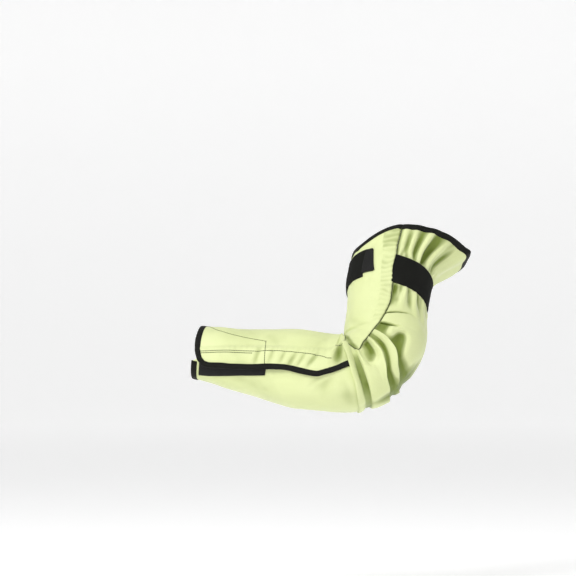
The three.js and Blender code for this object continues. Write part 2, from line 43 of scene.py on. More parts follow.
# The form of the sleeve, in millimetres and degrees, the same as the solids have.
# A station runs from 0 at the wrist through 1 and 2, the ends of the bend, to 3 at the top edge.
# Around is 0 at the back of the arm, 90 on its outer side and 180 at the inner elbow.
form = {
    "forearmLength": 262, "upperArmLength": 217, "bandBelowTop": 67,
    "forearmRise": 8.7, "forearmTurn": 8, "upperArmLean": 5.7, "upperArmTilt": 30,
    "creaseRadius": 4,
    "wrist": (74, 69), "elbow": (112, 106), "upperArm": (115, 108), "rim": (154, 132),
}
sectionRows = [  # station, girth that it follows, width, depth and outward shift as shares
    (0.00, "wrist", 1.0, 1.0, -0.04), (0.35, "elbow", 0.8, 0.779, -0.02),
    (0.75, "elbow", 1.0, 0.925, -0.02), (1.00, "elbow", 0.98, 0.977, -0.035),
    (1.25, "elbow", 0.98, 0.99, -0.035), (1.50, "elbow", 1.0, 1.0, -0.01),
    (1.75, "elbow", 0.98, 1.0, -0.02), (2.00, "upperArm", 1.0, 1.0, -0.015),
    (2.35, "upperArm", 0.96, 1.0, -0.018), (2.55, "upperArm", 1.0, 1.01, -0.018),
    (2.72, "upperArm", 1.047, 1.05, 0.018), (3.00, "rim", 1.0, 1.0, 0.145),
]
seams = {  # edges and seams, each as rows of a station and the degrees round
    "side": [(0, 67), (0.29, 82), (0.52, 88), (0.76, 92), (0.96, 94), (1.03, 104), (1.12, 113), (1.2, 115),
             (1.3, 105), (1.37, 95), (1.46, 100), (1.55, 104), (1.74, 104), (1.9, 100.5), (2.0, 95.5),
             (2.1, 89), (2.25, 83), (2.45, 82), (2.7, 84), (2.82, 89), (3.0, 97)],
    "flap": [(0, 50), (0.012, 45), (0.03, 41), (0.08, 40), (0.14, 41.5), (0.22, 44), (0.31, 46.5),
             (0.47, 53), (0.58, 58.5), (0.69, 61), (0.80, 58.5), (0.90, 56.5), (0.98, 61.5), (1.05, 67),
             (1.12, 71.5), (1.21, 75)],
    "facing": [(1.95, 104), (2.03, 106), (2.22, 101), (2.44, 100), (2.67, 102), (2.9, 112), (3.0, 116)],
    "tip": 1.385, "crest": 115, "rimDip": 0.13,
}
# The flap's wrist edge: degrees round, and how far it is set back there, in stations
flapWrist = [(40, 0.062), (50, 0.043), (60, 0.026), (70, 0.013), (82, 0.004), (96, 0)]
# The crease at the inner elbow: degrees round and a station
creaseLine = [(96, 1.385), (106, 1.3), (113, 1.225), (116, 1.2), (140, 1.25), (180, 1.3)]
# The arm band's middle: degrees round, and how far it lies past bandStation
bandLine = [(-180, 0.08), (-90, 0), (0, -0.055), (45, -0.02), (84, 0.015), (110, 0.09), (145, 0.09),
            (180, 0.08)]
# Thicknesses, and the gap between pieces that lie on each other, in millimetres
wall = {"cloth": 1.2, "tape": 0.7, "strip": 1.0, "elastic": 1.5, "gap": 0.4}


def unit(vector):
    vector = np.asarray(vector, float)
    return vector / np.maximum(np.linalg.norm(vector, axis=-1, keepdims=True), 1e-9)


def smoothStep(x, low, high):
    t = np.clip((np.asarray(x, float) - low) / (high - low), 0, 1)
    return t * t * (3 - 2 * t)


def mix(a, b, t):
    return a + (b - a) * t


def curveThrough(rows, at):  # a smooth curve through a table's rows that never overshoots them
    x, y = np.array(rows, float).T
    step = np.diff(x)
    slope = np.diff(y) / step
    before, after = slope[:-1], slope[1:]
    safe = np.where(before + after == 0, 1, before + after)
    inner = np.where(before * after > 0, 2 * before * after / safe, 0)
    tangent = np.concatenate([slope[:1], inner, slope[-1:]])
    place = np.clip(at, x[0], x[-1])
    i = np.clip(np.searchsorted(x, place, side="right") - 1, 0, len(x) - 2)
    t = (place - x[i]) / step[i]
    t2, t3 = t * t, t * t * t
    return ((2 * t3 - 3 * t2 + 1) * y[i] + (t3 - 2 * t2 + t) * step[i] * tangent[i]
            + (3 * t2 - 2 * t3) * y[i + 1] + (t3 - t2) * step[i] * tangent[i + 1])


def columnsThrough(stops, table, at, curve=curveThrough):  # a curve through each column of a table
    return np.stack([curve(np.stack([stops, column], -1), at) for column in table.T], -1)


def straightThrough(rows, at):
    return np.interp(at, *np.array(rows, float).T)


rise, turn = math.radians(form["forearmRise"]), math.radians(form["forearmTurn"])
lean, tilt = math.radians(form["upperArmLean"]), math.radians(form["upperArmTilt"])
toWrist = unit((-math.cos(rise) * math.cos(turn), math.sin(turn), math.sin(rise) * math.cos(turn)))
toShoulder = unit((math.sin(lean) * math.cos(tilt), math.sin(tilt), math.cos(lean) * math.cos(tilt)))
elbowCorner = -toShoulder * (form["upperArmLength"] - form["bandBelowTop"])
bendAngle = math.acos(-toWrist @ toShoulder)
bendRadius = form["elbow"][0] / 2 + form["creaseRadius"]
bendReach = bendRadius * math.tan(bendAngle / 2)
nearSide = unit(np.cross(toShoulder, toWrist))
outAtWrist = unit(np.cross(nearSide, toWrist))
bendCentre = elbowCorner + toWrist * bendReach - outAtWrist * bendRadius
zoneLengths = (form["forearmLength"] - bendReach, bendRadius * bendAngle,
               form["upperArmLength"] - bendReach)
bandStation = 2 + (form["upperArmLength"] - form["bandBelowTop"] - bendReach) / zoneLengths[2]
widthRows = [(at, form[of][0] * width) for at, of, width, depth, shift in sectionRows]
depthRows = [(at, form[of][1] * depth) for at, of, width, depth, shift in sectionRows]
shiftRows = [(at, form[of][0] * shift) for at, of, width, depth, shift in sectionRows]


def centreline(at):
    turned = np.clip(at - 1, 0, 1)[..., None] * bendAngle
    out = outAtWrist * np.cos(turned) - toWrist * np.sin(turned)
    centre = bendCentre + out * bendRadius
    centre = centre + toWrist * np.clip(1 - at, 0, None)[..., None] * zoneLengths[0]
    return centre + toShoulder * np.clip(at - 2, 0, None)[..., None] * zoneLengths[2], out


def sleevePoint(at, around, rise=0):  # millimetres
    at, around, rise = np.broadcast_arrays(*(np.asarray(x, float) for x in (at, around, rise)))
    centre, out = centreline(at)
    angle = np.radians(around)
    across = curveThrough(shiftRows, at) + (curveThrough(widthRows, at) / 2 + rise) * np.cos(angle)
    aside = (curveThrough(depthRows, at) / 2 + rise) * np.sin(angle)
    return centre + out * across[..., None] + nearSide * aside[..., None]


def degreesFor(length, at):
    return np.degrees(length / ((curveThrough(widthRows, at) + curveThrough(depthRows, at)) / 4))


def stationsFor(length, zone):
    return length / zoneLengths[zone]


def lengthAlong(at):  # millimetres along the centreline from the wrist
    at = np.asarray(at, float)
    return (np.clip(at, 0, 1) * zoneLengths[0] + np.clip(at - 1, 0, 1) * zoneLengths[1]
            + np.clip(at - 2, 0, None) * zoneLengths[2])


def lengthAround(at, around):  # millimetres round the sleeve from the back of the arm
    return np.asarray(around, float) / degreesFor(1, at)


def seamAt(at):
    return curveThrough(seams["side"], at)


def fromBack(around):  # degrees from the back of the arm, the same on both sides
    around = np.asarray(around, float)
    return np.abs(around - 360 * np.round(around / 360))


def bandCentre(around):
    around = np.asarray(around, float)
    return bandStation + curveThrough(bandLine, around - 360 * np.round(around / 360))


def rimAt(around):
    return 3 - seams["rimDip"] * smoothStep(fromBack(around), 95, 150)


def creaseAt(around):
    return curveThrough(creaseLine, fromBack(around))


# Smooth random unevenness, the same on each run
lattice = np.random.default_rng(7).uniform(-1, 1, (96, 96))
latticeUse = {"layerX": 11.3, "layerY": 5.7, "start": 40, "strength": 1.4}


def unevenness(x, y, size, layer=0):  # about -1 to 1, with features of the given size in millimetres
    u = np.asarray(x) / size + latticeUse["layerX"] * layer + latticeUse["start"]
    v = np.asarray(y) / size + latticeUse["layerY"] * layer + latticeUse["start"]
    i, j = np.floor(u).astype(int), np.floor(v).astype(int)
    s, t = smoothStep(u - i, 0, 1), smoothStep(v - j, 0, 1)
    count = len(lattice)
    low = mix(lattice[i % count, j % count], lattice[(i + 1) % count, j % count], s)
    high = mix(lattice[i % count, (j + 1) % count], lattice[(i + 1) % count, (j + 1) % count], s)
    return mix(low, high, t) * latticeUse["strength"]


# Creases that are drawn one by one. Each runs from one place, via a second, to a third, each a station and
# degrees round. Then come its height, and its width on each side of its line, in millimetres.
def creaseRise(creases, at, around):
    along, aside = lengthAlong(at), lengthAround(at, around)
    along, aside = np.broadcast_arrays(along, aside)
    total = np.zeros(along.shape)
    t = np.linspace(0, 1, 17)
    for start, via, end, height, before, after in creases:
        places = zip(start, via, end)
        stations, turns = ((1 - t) ** 2 * a + 2 * t * (1 - t) * b + t * t * c for a, b, c in places)
        x, y = lengthAlong(stations), lengthAround(stations, turns)
        nearest = np.full(along.shape, 1e9)
        side = np.zeros(along.shape)
        share = np.zeros(along.shape)
        for k in range(len(t) - 1):
            dx, dy = x[k + 1] - x[k], y[k + 1] - y[k]
            s = np.clip(((along - x[k]) * dx + (aside - y[k]) * dy) / (dx * dx + dy * dy), 0, 1)
            missX, missY = along - x[k] - s * dx, aside - y[k] - s * dy
            miss = np.hypot(missX, missY)
            closer = miss < nearest
            nearest = np.where(closer, miss, nearest)
            side = np.where(closer, dx * missY - dy * missX, side)
            share = np.where(closer, t[k] + s * (t[k + 1] - t[k]), share)
        width = np.where(side < 0, before, after)
        ends = np.sin(np.pi * np.clip(share * 0.94 + 0.03, 0, 1)) ** 0.6
        total += height * np.exp(-(nearest / width) ** 2) * ends
    return total


# The elbow's pleats. Each line crosses the panel and has a station and a rise, in millimetres, at each of
# these shares of the way from the middle of the back to the seam.
acrossStops = (1, 0.88, 0.76, 0.6, 0.4, 0)
pleatLines = [
    ("front fold, foot", (1.150, 1.190, 1.212, 1.232, 1.248, 1.253), (-0.8, -1.2, -1.2, -1.0, -0.8, -0.8)),
    ("front fold, face", (1.121, 1.160, 1.192, 1.213, 1.233, 1.238), (3.2, 4.2, 4.2, 3.4, 2.6, 0.6)),
    ("front fold, crest", (1.106, 1.146, 1.183, 1.204, 1.225, 1.230), (6.2, 7.2, 7.4, 6.4, 4.8, 1.2)),
    ("front fold, top", (1.124, 1.164, 1.198, 1.219, 1.240, 1.246), (7.2, 8.2, 8.2, 7.0, 5.2, 1.4)),
    ("front fold, back", (1.200, 1.225, 1.245, 1.256, 1.268, 1.275), (6.4, 6.2, 5.0, 3.6, 2.6, 0.6)),
    ("first hollow", (1.290, 1.288, 1.285, 1.283, 1.290, 1.300), (1.4, 0.2, -1.8, -2.8, -2.6, -1.2)),
    ("second fold, foot", (1.334, 1.333, 1.333, 1.334, 1.335, 1.330), (0.4, -1.0, -2.6, -3.2, -3.0, -1.6)),
    ("second fold, face", (1.339, 1.338, 1.339, 1.341, 1.341, 1.336), (3.4, 3.6, 3.0, 2.4, 1.6, -0.4)),
    ("second fold, crest", (1.356, 1.358, 1.360, 1.372, 1.376, 1.360), (5.6, 5.6, 5.6, 4.8, 4.0, 0.4)),
    ("second fold, back", (1.385, 1.382, 1.385, 1.405, 1.405, 1.390), (3.2, 2.2, 3.8, 4.6, 4.2, 0.2)),
    ("dish, lip", (1.440, 1.420, 1.412, 1.432, 1.425, 1.410), (0.4, -0.6, -1.0, 4.4, 4.2, 0.0)),
    ("dish", (1.530, 1.500, 1.470, 1.462, 1.445, 1.430), (-3.4, -3.2, -3.2, 3.2, 4.2, 0.0)),
    ("dish, far side", (1.590, 1.560, 1.530, 1.500, 1.462, 1.450), (-5.6, -5.2, -3.2, 4.2, 4.6, 0.0)),
    ("third fold, rise", (1.628, 1.598, 1.575, 1.530, 1.478, 1.465), (3.0, 5.0, 5.2, 5.4, 5.2, 0.2)),
    ("third fold, crest", (1.652, 1.620, 1.602, 1.552, 1.490, 1.476), (6.0, 7.8, 8.2, 7.2, 6.0, 0.4)),
    ("third fold, drop", (1.660, 1.628, 1.610, 1.559, 1.496, 1.482), (2.6, 2.8, 2.0, 0.8, 0.6, -1.0)),
    ("third hollow", (1.720, 1.700, 1.672, 1.606, 1.530, 1.503), (-1.8, -2.8, -3.6, -3.8, -3.4, -2.0)),
    ("third hollow, end", (1.742, 1.722, 1.692, 1.626, 1.548, 1.518), (-1.4, -2.6, -4.0, -4.2, -3.6, -1.8)),
    ("fourth fold, rise", (1.780, 1.748, 1.716, 1.655, 1.572, 1.535), (1.8, 1.6, 1.2, 1.2, 1.0, -1.0)),
    ("fourth fold, crest", (1.825, 1.795, 1.768, 1.718, 1.620, 1.560), (4.4, 6.2, 7.0, 6.8, 5.4, 0.0)),
    ("fourth fold, drop", (1.832, 1.802, 1.775, 1.725, 1.627, 1.568), (0.6, 0.4, 1.8, 0.2, 1.4, -0.6)),
    ("pocket", (1.868, 1.845, 1.806, 1.790, 1.680, 1.620), (-2.0, -2.4, -0.4, -5.6, -2.4, -0.6)),
    ("pocket, floor", (1.905, 1.885, 1.850, 1.848, 1.730, 1.660), (-2.4, -2.6, 3.0, -6.4, 1.2, -0.4)),
    ("pocket, top", (1.940, 1.925, 1.895, 1.895, 1.800, 1.710), (-2.2, -2.6, 4.0, -3.0, 4.6, -0.2)),
    ("fifth fold", (1.968, 1.952, 1.930, 1.932, 1.880, 1.780), (-2.2, -2.4, 3.6, 4.2, 4.4, 0.2)),
    ("lower slit, foot", (1.988, 1.974, 1.960, 1.955, 1.935, 1.840), (-5.6, -5.0, -1.0, 3.6, 4.2, 0.6)),
    ("lower slit, top", (1.999, 1.985, 1.976, 1.980, 1.980, 1.890), (2.6, 2.8, 3.0, 2.6, 2.8, 0.8)),
    ("tuck between slits", (2.040, 2.040, 2.040, 2.045, 2.050, 1.960), (3.6, 3.4, 3.2, 3.4, 2.4, 0.8)),
    ("upper slit, edge", (2.068, 2.087, 2.108, 2.118, 2.100, 2.030), (3.0, 2.8, 2.0, 1.6, 1.2, 0.6)),
    ("upper slit, foot", (2.083, 2.099, 2.112, 2.130, 2.120, 2.050), (-6.6, -6.2, -3.0, 0.8, 0.8, 0.6)),
    ("upper slit, top", (2.100, 2.117, 2.134, 2.150, 2.150, 2.100), (2.6, 2.6, 2.0, 1.4, 1.0, 0.6)),
    ("over the slits", (2.150, 2.165, 2.180, 2.190, 2.195, 2.170), (2.0, 1.6, 1.2, 1.2, 0.6, 0.2)),
    ("plain back", (2.240, 2.245, 2.250, 2.260, 2.265, 2.260), (0, 0, 0, 0, 0, 0)),
]
backCloth = {
    "pleatRows": 0.72, "rowsEvenAt": 0.62, "farShare": 0.6, "seamDip": -1.3, "seamFrom": 0.955,
    "unevenness": 0.5, "fineShare": 0.4, "cornerTuck": 5, "cornerAt": 1.62, "cornerReach": 0.24,
    # shade: painted shade laid over the near half of the upper pleats; fullShadeDepth: the depth of a hollow
    # whose painted shade is full
    "shade": 0.2, "fullShadeDepth": 6,
}

# Gathers on both sides of the arm band: degrees round at the band and at the far end, and the rise. Swell
# and fade say how much of that rise is left at each share of the way from the band.
gathers = {
    "above": [(84, 94, 0), (76, 91, 1.8), (70, 86, -2.0), (65, 80, 3.2), (58, 71, -4.6), (51, 62, 4.2),
              (43, 53, -7.6), (34, 35, 4.8), (29, 24, -0.5), (22, 14, -5.0), (14, 4, 1.0), (7, -4, 3.2),
              (-8, -18, -2.4), (-24, -34, 2.8), (-42, -52, -3.2), (-60, -70, 2.4), (-84, -94, 0)],
    "below": [(84, 84, 0), (77, 84, -3.4), (69, 78, -0.6), (61, 70, 4.2), (55, 52, -2.2), (48, 42, 3.0),
              (37, 31, -1.8), (24, 22, 1.4), (8, 8, -1.0), (-10, -8, 1.4), (-32, -30, -1.6), (-55, -52, 1.6),
              (-84, -84, 0)],
    "swell": [(0, 0), (0.15, 0.6), (0.45, 1), (0.8, 0.45), (1, 0.08)],
    "fade": [(0, 0.1), (0.12, 0.9), (0.4, 0.8), (1, 0)],
    "reachBelow": 0.3, "flareReach": 0.8,
    "fineRise": 0.9, "fineCount": 37, "fineAt": 0.1, "fineSpread": 0.12, "fineBelow": 0.6,
    "flare": [(-180, 0), (-110, 0), (-85, 5), (-60, 16), (-35, 13), (-14, 9), (0, 9), (12, 2), (34, -2),
              (60, 0), (180, 0)],
}
armBand = {
    "width": 42, "start": 94, "end": -233, "ribs": 30, "ribRise": 0.32, "edgeDip": 0.5, "unevenness": 0.3,
    "tabWidth": 36, "tabLength": 14, "tabSlant": 4, "tabBelowEdge": 0.8, "tabRise": 0.35,
}
halfBand = stationsFor(armBand["width"], 2) / 2


# A curve round the sleeve, through lines that shift from one end to the other
def rowsThrough(lines, share, around):
    starts, ends, rises = np.array(sorted(lines), float).T
    share, around = np.broadcast_arrays(np.clip(share, 0, 1), around)
    places = starts + (ends - starts) * share[..., None]
    k = np.clip(np.sum(around[..., None] >= places, axis=-1) - 1, 0, len(starts) - 2)
    low = np.take_along_axis(places, k[..., None], -1)[..., 0]
    high = np.take_along_axis(places, k[..., None] + 1, -1)[..., 0]
    return mix(rises[k], rises[k + 1], smoothStep((around - low) / (high - low), 0, 1))


def gatherRise(at, around):
    foot = bandCentre(around)
    upper = (at - foot - halfBand) / (rimAt(around) - foot - halfBand)
    lower = (foot - halfBand - at) / gathers["reachBelow"]
    above = rowsThrough(gathers["above"], upper, around) * curveThrough(gathers["swell"], upper)
    below = rowsThrough(gathers["below"], lower, around) * curveThrough(gathers["fade"], lower)
    wave = np.sin(np.radians(around) * gathers["fineCount"] + 2 * unevenness(around, at * 60, 14))
    beside = np.maximum(upper, lower * gathers["fineBelow"])
    spread = np.exp(-((beside - gathers["fineAt"]) / gathers["fineSpread"]) ** 2)
    fine = gathers["fineRise"] * wave * spread * (beside > 0)
    flare = curveThrough(gathers["flare"], around) * smoothStep(upper, 0, gathers["flareReach"])
    return above * (upper > 0) + below * (lower > 0) + fine + flare * (upper > 0)


# Making meshes
def selectOnly(piece):
    bpy.ops.object.select_all(action="DESELECT")
    piece.select_set(True)
    bpy.context.view_layer.objects.active = piece


def smoothShade(piece):
    selectOnly(piece)
    bpy.ops.object.shade_smooth()


def readVectors(vertices, field="co"):
    values = np.zeros(len(vertices) * 3)
    vertices.foreach_get(field, values)
    return values.reshape(-1, 3)


def applyModifier(piece, kind, **settings):
    selectOnly(piece)
    modifier = piece.modifiers.new(kind.lower(), kind)
    for key, value in settings.items():
        setattr(modifier, key, value)
    bpy.ops.object.modifier_apply(modifier=modifier.name)


def finishPiece(piece, material, nodes=()):
    piece.data.materials.clear()
    piece.data.materials.append(material)
    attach(piece, "root")
    if nodes:
        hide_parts(*nodes)


# A sheet starts as a grid primitive. Its points are moved to their places on the sleeve.
def makeSheet(name, shape, rows, columns, thickness):
    bpy.ops.mesh.primitive_grid_add(x_subdivisions=rows, y_subdivisions=columns, size=1)
    piece = bpy.context.object
    piece.name = piece.data.name = name
    mesh = piece.data
    flat = readVectors(mesh.vertices)
    i = np.round((flat[:, 0] + 0.5) * rows).astype(int)
    j = np.round((flat[:, 1] + 0.5) * columns).astype(int)
    points, outward, plan, fold = (np.asarray(x)[i, j] for x in shape(rows, columns))
    mesh.vertices.foreach_set("co", (points * mm).ravel())
    # Each point keeps its fold value, from which the cloth's material paints shade into the hollows
    foldShadeLayer = mesh.attributes.new("fold", "FLOAT", "POINT")
    foldShadeLayer.data.foreach_set("value", fold.astype(float).ravel())
    corners = np.zeros(len(mesh.loops), int)
    mesh.loops.foreach_get("vertex_index", corners)
    mesh.uv_layers.active.data.foreach_set("uv", (plan[corners] * mm).ravel())
    mesh.update()
    if np.sum(readVectors(mesh.vertices, "normal") * outward) < 0:
        mesh.flip_normals()
    if thickness:
        applyModifier(piece, "SOLIDIFY", thickness=thickness * mm, offset=-1)
    smoothShade(piece)
    print(name, len(piece.data.polygons), "faces")
    return piece


def outwardOf(at, around):
    return sleevePoint(at, around, 1) - sleevePoint(at, around, 0)


def planOf(at, around):  # millimetres across and along the cloth
    return np.stack(np.broadcast_arrays(lengthAround(at, around), lengthAlong(at)), -1)


def sheetOf(at, around, lift, fold):  # what makeSheet takes from a shape
    return sleevePoint(at, around, lift), outwardOf(at, around), planOf(at, around), fold


def goneAlong(points):  # the length of a line up to each of its points
    steps = np.linalg.norm(np.diff(points, axis=0), axis=-1)
    return np.concatenate([[0], np.cumsum(steps)])


def evenShares(points, count):  # shares at which a line is cut into equal lengths
    gone = goneAlong(points)
    return np.interp(np.linspace(0, gone[-1], count + 1), gone, np.linspace(0, 1, len(points)))


# The back of the sleeve: the pleated elbow and the gathered back of the upper arm, one piece of cloth
def onPleat(values, across):
    return curveThrough(sorted(zip(acrossStops, values)), np.abs(across))


def pleatStation(name, across):
    return next(onPleat(stations, across) for line, stations, rises in pleatLines if line == name)


def pleatGrid(shares, across):
    stations = np.stack([onPleat(stations, across) for line, stations, rises in pleatLines])
    heights = np.stack([onPleat(rises, across) for line, stations, rises in pleatLines])
    place = shares * (len(pleatLines) - 1)
    at = columnsThrough(np.arange(len(pleatLines)), stations, place)
    lift = columnsThrough(np.arange(len(pleatLines)), heights, place)
    return at, lift * mix(1, backCloth["farShare"], smoothStep(-across, 0, 0.4))


def looseness(at, around):  # 0 under the arm band, 1 clear of it
    return smoothStep(np.abs(at - bandCentre(around)), halfBand * 0.9, halfBand * 1.3)


def backSoft(at, around):
    x, y = lengthAlong(at), lengthAround(at, around)
    soft = unevenness(x, y, 17) + backCloth["fineShare"] * unevenness(x, y, 7, 1)
    return gatherRise(at, around) + backCloth["unevenness"] * soft * looseness(at, around)


def backShape(rows, columns):
    across = np.linspace(1, -1, columns + 1)
    pleatRows = int(rows * backCloth["pleatRows"])
    middle = np.array([backCloth["rowsEvenAt"]])  # the rows are spaced evenly along this line
    at, lift = pleatGrid(np.linspace(0, 1, 1201), middle)
    even = evenShares(sleevePoint(at[:, 0], middle * seamAt(at[:, 0]), lift[:, 0]), pleatRows)
    pleatAt, pleatLift = pleatGrid(even, across)
    share = np.linspace(0, 1, rows - pleatRows + 1)[1:, None]
    upperAt = mix(pleatAt[-1], rimAt(across * 90), share)
    at = np.concatenate([pleatAt, upperAt])
    lift = np.concatenate([pleatLift, np.zeros_like(upperAt)])
    around = across * seamAt(at)
    corner = np.exp(-((at - backCloth["cornerAt"]) / backCloth["cornerReach"]) ** 2)
    corner = corner * (1 - smoothStep(np.abs(across), 0.1, 0.6))
    lift = lift + backSoft(at, around) - backCloth["cornerTuck"] * corner
    lift = mix(lift, backCloth["seamDip"], smoothStep(np.abs(across), backCloth["seamFrom"], 1.0))
    # Painted shade: the near half of the back cloth, from the third fold up, is painted darker, on top of the
    # painted shade of its hollows
    paintedNearShade = backCloth["shade"] * smoothStep(across, 0.2, 0.5) * smoothStep(at, 1.58, 1.72)
    fold = np.clip(lift / backCloth["fullShadeDepth"], -1, 1) - paintedNearShade
    return sheetOf(at, around, lift, fold)


# The front of the upper arm, from the crease of the elbow to the top edge
frontCreases = [
    ((1.38, 95), (1.35, 104), (1.30, 116), -3.6, 5, 6), ((1.34, 112), (1.34, 124), (1.34, 140), -2.0, 6, 6),
    ((1.60, 112), (1.62, 130), (1.60, 150), 1.2, 12, 9),
    ((2.02, 100), (1.98, 122), (1.92, 150), -0.8, 6, 8), ((2.20, 101), (2.18, 120), (2.2, 146), 0.7, 8, 6),
    ((1.80, 118), (1.9, 132), (2.1, 150), 0.8, 14, 10), ((1.72, 108), (1.84, 120), (1.90, 140), -1.3, 8, 5),
    ((1.95, 110), (2.02, 126), (2.08, 150), -1.1, 6, 8), ((2.10, 106), (2.16, 116), (2.20, 132), -0.9, 5, 5),
]
frontPanel = {
    "rise": 0.5, "tuck": 2.5, "unevenness": 0.8, "fineUnevenness": 0.2, "pucker": 0.5, "puckerCount": 23,
    "facingRise": 0.6, "facingRipple": 0.4, "facingShade": 0.3, "fullShadeDepth": 6,
}


def frontShape(rows, columns):
    share = np.linspace(0, 1, rows + 1)[:, None]
    column = np.linspace(0, 1, columns + 1)
    tipSeam, topSeam = seamAt(seams["tip"]), seamAt(3.0)
    start = creaseAt(mix(tipSeam, 360 - tipSeam, column)) + stationsFor(0.9, 1)
    topTurn = mix(topSeam, 360 - topSeam, column)
    for _ in range(4):
        rimSeam = seamAt(rimAt(topTurn))
        topTurn = mix(rimSeam, 360 - rimSeam, column)
    at = mix(start, rimAt(topTurn), share)
    seam = seamAt(np.maximum(at, seams["tip"]))
    around = mix(seam, 360 - seam, column)
    x, y = lengthAlong(at), lengthAround(at, around)
    tuck = smoothStep(fromBack(around), 110, 140) * (1 - smoothStep(at - start, 0, 0.22))
    loose = np.maximum(looseness(at, around), 1 - smoothStep(around, 104, 112))
    lift = creaseRise(frontCreases, at, around) - frontPanel["tuck"] * tuck
    soft = frontPanel["unevenness"] * unevenness(x, y * 0.6, 18, 2)
    lift += (soft + frontPanel["fineUnevenness"] * unevenness(x, y, 8, 3)) * loose
    beside = np.exp(-((np.abs(at - bandCentre(around)) - halfBand - 0.03) / 0.035) ** 2)
    gathered = np.sin(np.radians(around) * frontPanel["puckerCount"] + 3 * unevenness(x, y, 20, 4))
    lift += frontPanel["pucker"] * gathered * beside * smoothStep(around, 108, 118)
    facing = curveThrough(seams["facing"], at)
    onFacing = (1 - smoothStep(around, facing - 1, facing + 0.6)) * smoothStep(at, 1.98, 2.06)
    ripple = np.sin(x * 0.8 + 2 * unevenness(x, y, 14, 12))
    lift += onFacing * (frontPanel["facingRise"] + frontPanel["facingRipple"] * ripple)
    lift = lift * smoothStep(rimAt(around) - at, 0.01, 0.07)
    lift = lift + mix(frontPanel["rise"], -frontPanel["rise"], smoothStep(np.abs(column - 0.5), 0.488, 0.5))
    # Painted shade: the fold value darkens the hollows and, by facingShade, the facing strip beside the seam
    fold = np.clip(lift / frontPanel["fullShadeDepth"], -1, 1) - frontPanel["facingShade"] * onFacing
    return sheetOf(at, around, lift, fold)


# The inner forearm panel, whose free flap laps over the outer side
flapHollow = [((1.10, 112), (1.07, 98), (1.06, 78), -3.8, 5.5, 5)]
wrapCreases = flapHollow + [
    ((1.02, 150), (1.00, 112), (0.98, 84), 2.4, 9, 3.2),
    ((0.49, 126), (0.55, 114), (0.62, 96), -0.8, 9, 12), ((0.63, 126), (0.72, 122), (0.80, 116), 1.0, 10, 10),
    ((0.08, 84), (0.1, 74), (0.1, 56), -0.5, 3, 3), ((0.19, 84), (0.2, 74), (0.2, 60), -0.4, 3, 4),
    ((0.475, 90), (0.47, 80), (0.455, 60), -1.9, 4, 3), ((0.575, 88), (0.565, 80), (0.55, 62), -1.5, 3, 4),
    ((0.66, 88), (0.65, 80), (0.63, 66), -1.4, 3, 2.6), ((0.74, 88), (0.72, 80), (0.69, 64), -1.8, 2.6, 4),
    ((0.80, 88), (0.785, 80), (0.755, 66), -1.5, 2.6, 3), ((0.885, 88), (0.86, 80), (0.825, 66), -2.0, 3, 4),
    ((0.40, 150), (0.55, 146), (0.72, 150), -0.4, 16, 12),
]
wrapPanel = {
    "flapRise": 1.4, "bulge": 2.2, "tuck": 2.2, "unevenness": 0.7, "fineUnevenness": 0.16, "puckerRise": 0.22,
    "bendRows": 0.16, "pastBend": 0.17, "fullShadeDepth": 6.5,
}
wristReach = 0.3  # the stations over which the wrist edge's own line dies away


def flapLift(at):  # how far the flap's edge stands off, over the cloth, its tape and the hook strip
    overStrip = (wall["strip"] + 2 * wall["gap"]) * (1 - smoothStep(at, 0.56, 0.75))
    return wrapPanel["flapRise"] + 2 * wall["gap"] + wall["tape"] + overStrip


def overSeam(at, around):  # 1 on the free flap, 0 past the seam
    seam = seamAt(at)
    return 1 - smoothStep(around - seam, -2, 9)


def wrapLift(at, around):
    inner = smoothStep(fromBack(around), 118, 150)
    bulge = wrapPanel["bulge"] * inner * smoothStep(at, 0.98, 1.08) * (1 - smoothStep(at, 1.1, 1.22))
    tuck = wrapPanel["tuck"] * inner * smoothStep(at, 1.12, 1.28)
    x, y = lengthAlong(at), lengthAround(at, around)
    soft = wrapPanel["unevenness"] * unevenness(x * 0.6, y, 24, 5)
    soft = soft + wrapPanel["fineUnevenness"] * unevenness(x, y, 8, 6)
    besideSeam = np.exp(-((around - seamAt(at) - 1.5) / 5.0) ** 2)
    pucker = wrapPanel["puckerRise"] * np.sin(x * 0.85 + 2 * unevenness(x, y, 20, 8)) * besideSeam
    firm = smoothStep(at, 0, 0.08)
    return (flapLift(at) * overSeam(at, around) + bulge - tuck + creaseRise(wrapCreases, at, around)
            + (soft + pucker) * firm)


def wrapPoint(at, around, lift=0):
    return sleevePoint(at, around, wrapLift(at, around) + lift)


def meet(atOf, lineOf):  # where a row of stations meets a line that itself depends on the station
    around = lineOf(atOf(90.0))
    for _ in range(8):
        around = lineOf(atOf(around))
    return around


def wrapEndAt(around):
    side = fromBack(around)
    across = np.minimum(side / seams["crest"], 1)
    nearEnd = pleatStation("front fold, face", across) - stationsFor(0.5, 1)
    farEnd = pleatStation("front fold, foot", across) - stationsFor(0.8, 1)
    elbowEnd = np.where(np.asarray(around) < 180, nearEnd, farEnd)
    alongCrease = creaseAt(np.maximum(side, 116)) - stationsFor(0.4, 1)
    return mix(elbowEnd, alongCrease, smoothStep(side, 113, 118))


def wrapPlaces(rows, columns):
    bendRows = int(rows * wrapPanel["bendRows"])
    forearm = np.linspace(0, 1, rows - bendRows + 1)
    bend = np.linspace(0, 1, bendRows + 1)[1:]
    at, around = np.zeros((rows + 1, columns + 1)), np.zeros((rows + 1, columns + 1))
    for i, (station, past) in enumerate([(s, 0) for s in forearm] + [(1, s) for s in bend]):
        if past:
            atOf = lambda a, s=past: mix(1, wrapEndAt(a), s)
        else:
            atOf = lambda a, s=station: s + curveThrough(flapWrist, a) * max(1 - s / wristReach, 0)
        along = station + wrapPanel["pastBend"] * past
        edge = meet(atOf, lambda at: curveThrough(seams["flap"], along))
        farSeam = meet(atOf, lambda at: 360 - seamAt(at) - degreesFor(0.3, at))
        around[i] = np.linspace(edge, farSeam, columns + 1)
        at[i] = atOf(around[i])
    return at, around


